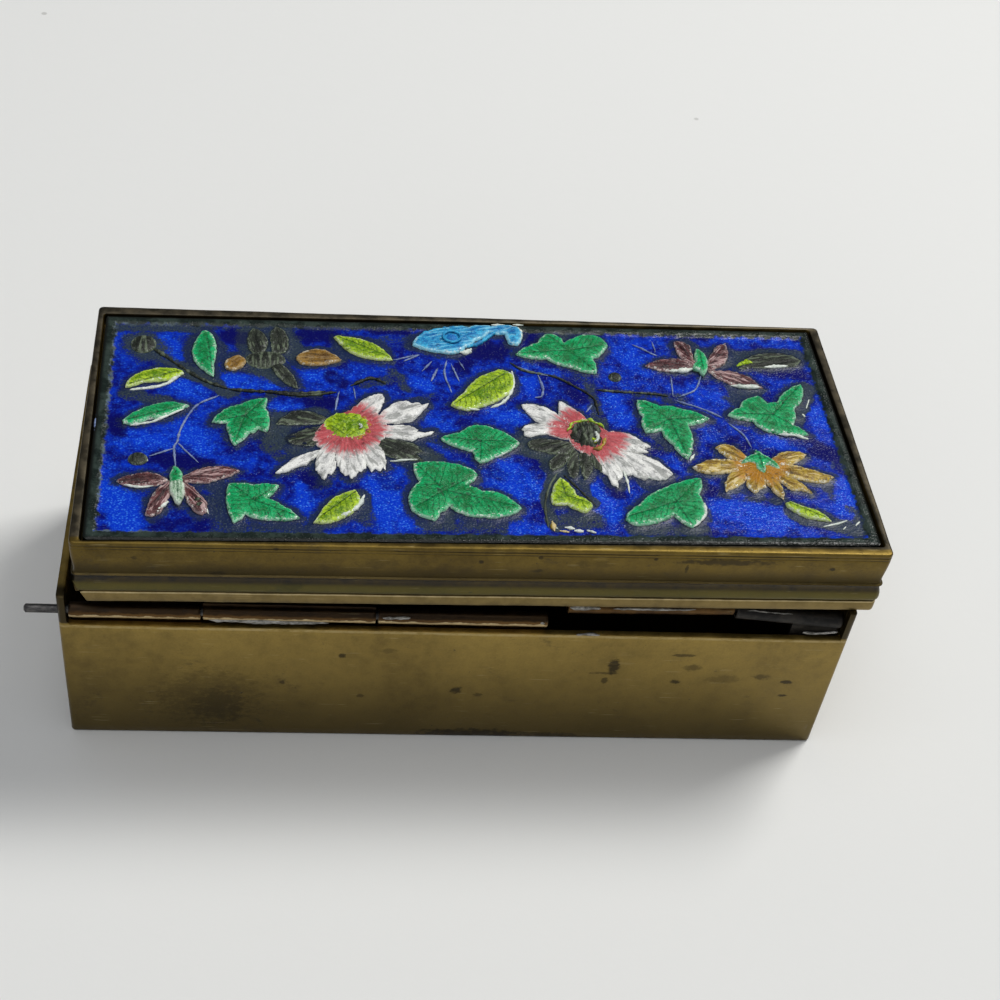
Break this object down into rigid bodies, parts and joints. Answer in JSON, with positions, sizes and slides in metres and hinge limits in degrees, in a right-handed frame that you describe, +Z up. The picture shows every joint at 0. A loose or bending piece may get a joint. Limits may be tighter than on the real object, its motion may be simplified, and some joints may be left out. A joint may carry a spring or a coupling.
{
  "type": "enamelled brass box",
  "caption": "Small rectangular brass box with a hinged lid, a moulded lid edge and a raised floral enamel panel set in the top.",
  "frame": {"origin": "middle of the underside of the box", "axes": "+Z up; +X along the hinge, away from the end where the pin sticks out; +Y from the hinge side to the far side"},
  "size_m": [0.0956, 0.0418, 0.0334],
  "materials": {
    "aged_brass": "aged, stained and scratched",
    "hinge_brass": "dull brown tarnish with grey solder",
    "blackened_brass": "blackened, matt",
    "pin_steel": "dark, dull",
    "blue_enamel": "glossy enamel, worn in places"
  },
  "bodies": {
    "base": {"base_box": "aged_brass", "hinge_knuckle_a": "hinge_brass", "hinge_knuckle_b": "hinge_brass", "hinge_knuckle_c": "hinge_brass", "hinge_knuckle_e": "blackened_brass", "hinge_pin": "pin_steel"},
    "lid": {"lid_frame": "aged_brass", "hinge_knuckle_d": "hinge_brass", "enamel_panel": "blue_enamel"}
  },
  "joints": [
    {"name": "lid_hinge", "type": "hinge", "parent": "base", "child": "lid", "pos_m": [0, -0.019, 0.0205], "axis": [1, 0, 0], "range_deg": [0, 120]}
  ]
}
